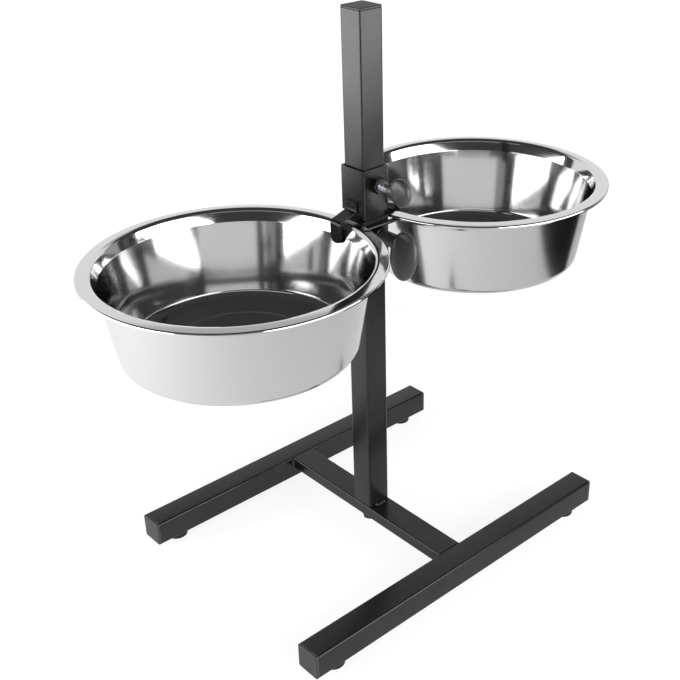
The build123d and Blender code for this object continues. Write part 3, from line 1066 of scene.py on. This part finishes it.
@dataclass
class Bowl:
    """Pressed steel bowl, revolved about its own axis, mirror inside and satin outside."""

    side: Side
    sheet: float = 0.9 * MM
    rim_radius: float = 126.0 * MM
    rim_slope: float = 6.0
    rim_lip: float = 1.8 * MM
    neck_radius: float = 112.5 * MM
    depth: float = 79.0 * MM
    collar_height: float = 11.0 * MM
    collar_radius: float = 114.9 * MM
    floor_radius: float = 99.2 * MM
    boss_radius: float = 61.5 * MM
    boss_rise: float = 1.2 * MM
    # Bend radii at the boss's two corners, the floor's edge, the crease, the collar and the lip
    bends: Sequence[float] = (1.6 * MM, 1.6 * MM, 8 * MM, 1.5 * MM, 4.0 * MM, 1.1 * MM)
    # The satin outside starts this far below the neck
    mirror_band: float = 3 * MM
    # A face whose direction has a Z below this is on the underside
    underside_z: float = -0.3
    sharp_angle: float = 50.0
    steps: int = 240

    def middle_line(self, neck_height: float) -> list[Flat]:
        """Returns the sheet's middle line from the axis to the rim's lip.

        Args:
            neck_height: Height at which the lines of wall and rim meet.

        Returns:
            Radius and height of each point.
        """
        floor = neck_height - self.depth
        rim_edge = self.rim_radius - self.sheet / 2
        fall = math.tan(math.radians(self.rim_slope))
        lean = (self.neck_radius - self.floor_radius) / self.depth
        edge_height = neck_height - (rim_edge - self.neck_radius) * fall
        points = [
            (0.0, floor + self.boss_rise),
            (self.boss_radius - self.boss_rise / 2, floor + self.boss_rise),
            (self.boss_radius + self.boss_rise / 2, floor),
            (self.floor_radius, floor),
            (self.neck_radius - self.collar_height * lean, neck_height - self.collar_height),
            (self.collar_radius, neck_height - (self.collar_radius - self.neck_radius) * fall),
            (rim_edge, edge_height),
            (rim_edge, edge_height - self.rim_lip),
        ]
        return bent_line(points, self.bends)

    def build(self) -> None:
        """Makes the bowl in its ring."""
        node = f"{self.side.word}_bowl"
        low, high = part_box(node)
        neck_height = low.z + self.sheet / 2 + self.depth
        line = self.middle_line(neck_height)
        inside = offset_line(line, self.sheet / 2)
        outside = offset_line(line, -self.sheet / 2)
        loops = [circle(max(radius, 0.0), self.steps, height) for radius, height in inside + outside[::-1]]
        bowl = skin(f"{node}_pressing", loops, cap=False, sharp=self.sharp_angle)
        bowl.location = Vector(((low.x + high.x) / 2, (low.y + high.y) / 2, 0))
        settle(bowl, MIRROR_STEEL, node, node)
        bowl.data.materials.append(SATIN_STEEL.material())
        for face in bowl.data.polygons:
            faces_out = face.normal.x * face.center.x + face.normal.y * face.center.y > 0
            outer = faces_out or face.normal.z < self.underside_z
            below_rim = face.center.z < neck_height - self.mirror_band
            face.material_index = 1 if outer and below_rim else 0


# Studio

@dataclass(frozen=True)
class Panel:
    """Lighter stretch of the surroundings, by its direction and size in degrees."""

    azimuth: float
    elevation: float
    width: float
    height: float
    strength: float
    softness: float = 3.0


@dataclass(frozen=True)
class SoftBox:
    """Upright soft lamp just above the floor, which faces the post."""

    name: str
    azimuth: float
    distance: float
    width: float
    bottom: float
    top: float
    radiance: float

    def build(self) -> None:
        """Hangs the lamp. The camera doesn't see it, but polished steel does."""
        lamp = bpy.data.lights.new(self.name, "AREA")
        lamp.shape = "RECTANGLE"
        lamp.size = self.width
        lamp.size_y = self.top - self.bottom
        lamp.energy = self.radiance * math.pi * lamp.size * lamp.size_y
        holder = bpy.data.objects.new(self.name, lamp)
        angle = math.radians(self.azimuth)
        outward = Vector((math.cos(angle), math.sin(angle), 0))
        holder.location = outward * self.distance + Vector((0, 0, (self.bottom + self.top) / 2))
        holder.rotation_euler = (-outward).to_track_quat("-Z", "Y").to_euler()
        holder.visible_camera = False
        bpy.context.scene.collection.objects.link(holder)


@dataclass(frozen=True)
class Flag:
    """Upright black card beside the object, which gives the steel a dark edge to mirror."""

    azimuth: float
    middle: Flat
    width: float
    height: float
    colour: str = "#0d0d0d"

    def build(self) -> None:
        """Stands the card on the floor. Only reflections see it."""
        angle = math.radians(self.azimuth)
        along = Vector((-math.sin(angle), math.cos(angle), 0)) * self.width / 2
        foot = Vector((self.middle[0], self.middle[1], 0))
        rise = Vector((0, 0, self.height))
        shape = bmesh.new()
        places = (foot - along, foot + along, foot + along + rise, foot - along + rise)
        shape.faces.new([shape.verts.new(place) for place in places])
        card = link_shape("studio_black_flag", shape)
        material = bare_material("black_flocked_card")
        black = add_node(material.node_tree, "ShaderNodeBsdfDiffuse", {"Color": linear(self.colour)})
        add_node(material.node_tree, "ShaderNodeOutputMaterial", {"Surface": black.outputs[0]})
        card.data.materials.append(material)
        card.visible_camera = False
        card.visible_diffuse = False
        card.visible_shadow = False


@dataclass
class Studio:
    """Pale floor, soft surroundings, lamps and the camera at the photograph's place."""

    camera_place: Vector
    camera_right: Vector
    camera_up: Vector
    lens: float
    shift: Flat
    panels: Sequence[Panel]
    softboxes: Sequence[SoftBox]
    flag: Flag
    sensor_width: float = 36.0
    floor_radius: float = 9.0
    floor_steps: int = 96
    # Paper as it lights the object, and as the camera and polished steel see it under its glow
    paper_colour: str = "#e6e6e6"
    seen_colour: str = "#999999"
    mirrored_colour: str = "#aaaaaa"
    # Glow for the camera near the object, and the distances over which it rises to 1
    floor_glow: float = 0.83
    glow_fade: Flat = (0.5, 1.2)
    # Glow for polished steel under the post, its whole change across the slope, and the slope itself
    mirrored_glow: float = 0.47
    mirrored_slope: float = 0.52
    slope_direction: tuple[float, float, float] = (-0.45, 0.9, 0)
    slope_reach: float = 0.5
    room_level: float = 0.045
    # Height of a direction's Z over which the white below the horizon ends
    horizon_blend: float = 0.03

    def build(self) -> None:
        """Sets up everything around the object."""
        scene = bpy.context.scene
        scene.view_settings.view_transform = "Standard"
        self.build_floor()
        self.build_world(scene)
        for softbox in self.softboxes:
            softbox.build()
        self.flag.build()
        self.build_camera(scene)

    def build_floor(self) -> None:
        """Makes the round pale floor, which steel mirrors brighter towards the back left."""
        shape = bmesh.new()
        bmesh.ops.create_circle(shape, cap_ends=True, segments=self.floor_steps, radius=self.floor_radius)
        floor = link_shape("studio_floor", shape)
        material = bare_material("pale_paper_floor")
        tree = material.node_tree
        place = add_node(tree, "ShaderNodeTexCoord").outputs["Object"]
        away = add_node(tree, "ShaderNodeVectorMath", {0: place}, operation="LENGTH")
        along = add_node(tree, "ShaderNodeVectorMath", {0: place, 1: self.slope_direction},
                         operation="DOT_PRODUCT")
        change = self.mirrored_slope / 2
        glowing = []
        for value, start, end, low, high, colour in (
                (away.outputs["Value"], *self.glow_fade, self.floor_glow, 1.0, self.seen_colour),
                (along.outputs["Value"], -self.slope_reach, self.slope_reach, self.mirrored_glow - change,
                 self.mirrored_glow + change, self.mirrored_colour)):
            strength = add_node(tree, "ShaderNodeMapRange",
                                {"Value": value, "From Min": start, "From Max": end, "To Min": low,
                                 "To Max": high}).outputs[0]
            light = add_node(tree, "ShaderNodeEmission", {"Color": linear(WHITE), "Strength": strength})
            shade = add_node(tree, "ShaderNodeBsdfDiffuse", {"Color": linear(colour)})
            glowing.append(
                add_node(tree, "ShaderNodeAddShader", {0: shade.outputs[0], 1: light.outputs[0]}))
        seen, mirrored = glowing
        paper = add_node(tree, "ShaderNodeBsdfDiffuse", {"Color": linear(self.paper_colour)})
        path = add_node(tree, "ShaderNodeLightPath").outputs
        glossy = add_node(tree, "ShaderNodeMath",
                          {0: path["Is Glossy Ray"], 1: path["Is Transmission Ray"]}, operation="MAXIMUM")
        bounced = add_node(tree, "ShaderNodeMixShader",
                           {0: glossy.outputs[0], 1: paper.outputs[0], 2: mirrored.outputs[0]})
        surface = add_node(tree, "ShaderNodeMixShader",
                           {0: path["Is Camera Ray"], 1: bounced.outputs[0], 2: seen.outputs[0]})
        add_node(tree, "ShaderNodeOutputMaterial", {"Surface": surface.outputs[0]})
        floor.data.materials.append(material)

    def build_world(self, scene: bpy.types.Scene) -> None:
        """Makes the surroundings: white for the camera and below the horizon, panels and a dim room above.

        Args:
            scene: Scene that gets the world.
        """
        world = bpy.data.worlds.new("studio_room")
        world.use_nodes = True
        tree = world.node_tree
        tree.nodes.clear()
        place = add_node(tree, "ShaderNodeTexCoord").outputs["Generated"]
        parts = add_node(tree, "ShaderNodeSeparateXYZ", {0: place}).outputs
        azimuth = add_node(tree, "ShaderNodeMath", {0: parts[1], 1: parts[0]}, operation="ARCTAN2")
        elevation = add_node(tree, "ShaderNodeMath", {0: parts[2]}, operation="ARCSINE")
        light: Any = self.room_level
        for panel in self.panels:
            mask = self.panel_mask(tree, panel, azimuth.outputs[0], elevation.outputs[0])
            light = add_node(tree, "ShaderNodeMath", {0: mask, 1: panel.strength, 2: light},
                             operation="MULTIPLY_ADD").outputs[0]
        below = add_node(tree, "ShaderNodeMapRange",
                         {"Value": parts[2], "From Min": 0.0, "From Max": self.horizon_blend, "To Min": 1.0,
                          "To Max": 0.0})
        path = add_node(tree, "ShaderNodeLightPath")
        white = add_node(tree, "ShaderNodeMath", {0: path.outputs["Is Camera Ray"], 1: below.outputs[0]},
                         operation="MAXIMUM")
        strength = add_node(tree, "ShaderNodeMix", {0: white.outputs[0], 2: light, 3: 1.0},
                            data_type="FLOAT")
        background = add_node(tree, "ShaderNodeBackground",
                              {"Color": linear(WHITE), "Strength": strength.outputs[0]})
        add_node(tree, "ShaderNodeOutputWorld", {"Surface": background.outputs[0]})
        scene.world = world

    @staticmethod
    def panel_mask(tree: bpy.types.NodeTree, panel: Panel, azimuth: bpy.types.NodeSocket,
                   elevation: bpy.types.NodeSocket) -> bpy.types.NodeSocket:
        """Returns 1 inside a panel's directions, falling softly to 0 outside.

        Args:
            tree: Node tree of the world.
            panel: The panel.
            azimuth: Angle about Z in radians.
            elevation: Angle above the horizon in radians.

        Returns:
            The mask.
        """
        masks = []
        soft = math.radians(panel.softness) / 2
        for angle, middle, size in ((azimuth, panel.azimuth, panel.width),
                                    (elevation, panel.elevation, panel.height)):
            edge = math.radians(size / 2)
            away = add_node(tree, "ShaderNodeMath", {0: angle, 1: math.radians(middle)},
                            operation="SUBTRACT")
            turned = add_node(tree, "ShaderNodeMath", {0: away.outputs[0], 1: math.pi, 2: -math.pi},
                              operation="WRAP")
            distance = add_node(tree, "ShaderNodeMath", {0: turned.outputs[0]}, operation="ABSOLUTE")
            mask = add_node(tree, "ShaderNodeMapRange",
                            {"Value": distance.outputs[0], "From Min": edge - soft, "From Max": edge + soft,
                             "To Min": 1.0, "To Max": 0.0}, interpolation_type="SMOOTHSTEP")
            masks.append(mask.outputs[0])
        return add_node(tree, "ShaderNodeMath", {0: masks[0], 1: masks[1]}, operation="MULTIPLY").outputs[0]

    def build_camera(self, scene: bpy.types.Scene) -> None:
        """Puts the camera where the photograph was taken from.

        Args:
            scene: Scene that gets the camera.
        """
        camera = bpy.data.cameras.new("photo_camera")
        camera.sensor_width = self.sensor_width
        camera.lens = self.lens
        camera.shift_x, camera.shift_y = self.shift
        holder = bpy.data.objects.new("photo_camera", camera)
        back = self.camera_right.cross(self.camera_up)
        turned = Matrix((self.camera_right, self.camera_up, back)).transposed()
        holder.matrix_world = Matrix.Translation(self.camera_place) @ turned.to_4x4()
        scene.collection.objects.link(holder)
        scene.camera = holder


STUDIO = Studio(
    camera_place=Vector((-0.59431, -0.67656, 0.69741)),
    camera_right=Vector((0.73611, -0.67677, -0.01120)),
    camera_up=Vector((0.33065, 0.34511, 0.87839)),
    lens=57.70,
    shift=(-0.0645, 0.0070),
    panels=(
        # Backdrop behind the object, darker above
        Panel(azimuth=56, elevation=13.5, width=112, height=45, strength=0.79),
        Panel(azimuth=52, elevation=43, width=76, height=14, strength=0.42),
        # Grey stretch between the backdrop and the black flag
        Panel(azimuth=-9, elevation=10, width=18, height=30, strength=0.30),
        # Dim room around the camera, with a light strip high above it
        Panel(azimuth=-140, elevation=5, width=52, height=16, strength=0.24),
        Panel(azimuth=-120, elevation=34, width=130, height=6, strength=0.66),
    ),
    softboxes=(
        SoftBox("right_softbox", azimuth=-75, distance=1.25, width=1.96, bottom=0.06, top=0.92,
                radiance=4.4),
        SoftBox("left_softbox", azimuth=155, distance=1.25, width=1.88, bottom=0.04, top=0.74,
                radiance=4.4),
    ),
    flag=Flag(azimuth=-35, middle=(0.42, -0.31), width=0.50, height=0.24),
)

RING_SCREW = ThumbScrew(
    "ring", "ring_carriage", hub_length=21 * MM, paddle_width=31 * MM, paddle_height=44 * MM,
    paddle_thickness=9.6 * MM, outreach=28.5 * MM, drop=10 * MM, turn=math.radians(8),
    stud_body="ring_screw", knob_body="ring_screw")
LOCK_SCREW = ThumbScrew(
    "lock", "lock_carriage", hub_length=7 * MM, paddle_width=23 * MM, paddle_height=25 * MM,
    paddle_thickness=10 * MM, outreach=12.5 * MM, drop=0.0, turn=0.0,
    stud_body="lock_stud", knob_body="lock_knob")


def main() -> None:
    """Builds every sub-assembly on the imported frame, then the studio."""
    logging.basicConfig(level=logging.INFO, format="%(message)s")
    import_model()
    BaseFrame().build()
    RingCarriage().build()
    LockCarriage().build()
    RING_SCREW.build()
    LOCK_SCREW.build()
    for side in Side:
        Bowl(side).build()
    STUDIO.build()
    bpy.context.view_layer.update()


if __name__ == "__main__":
    main()
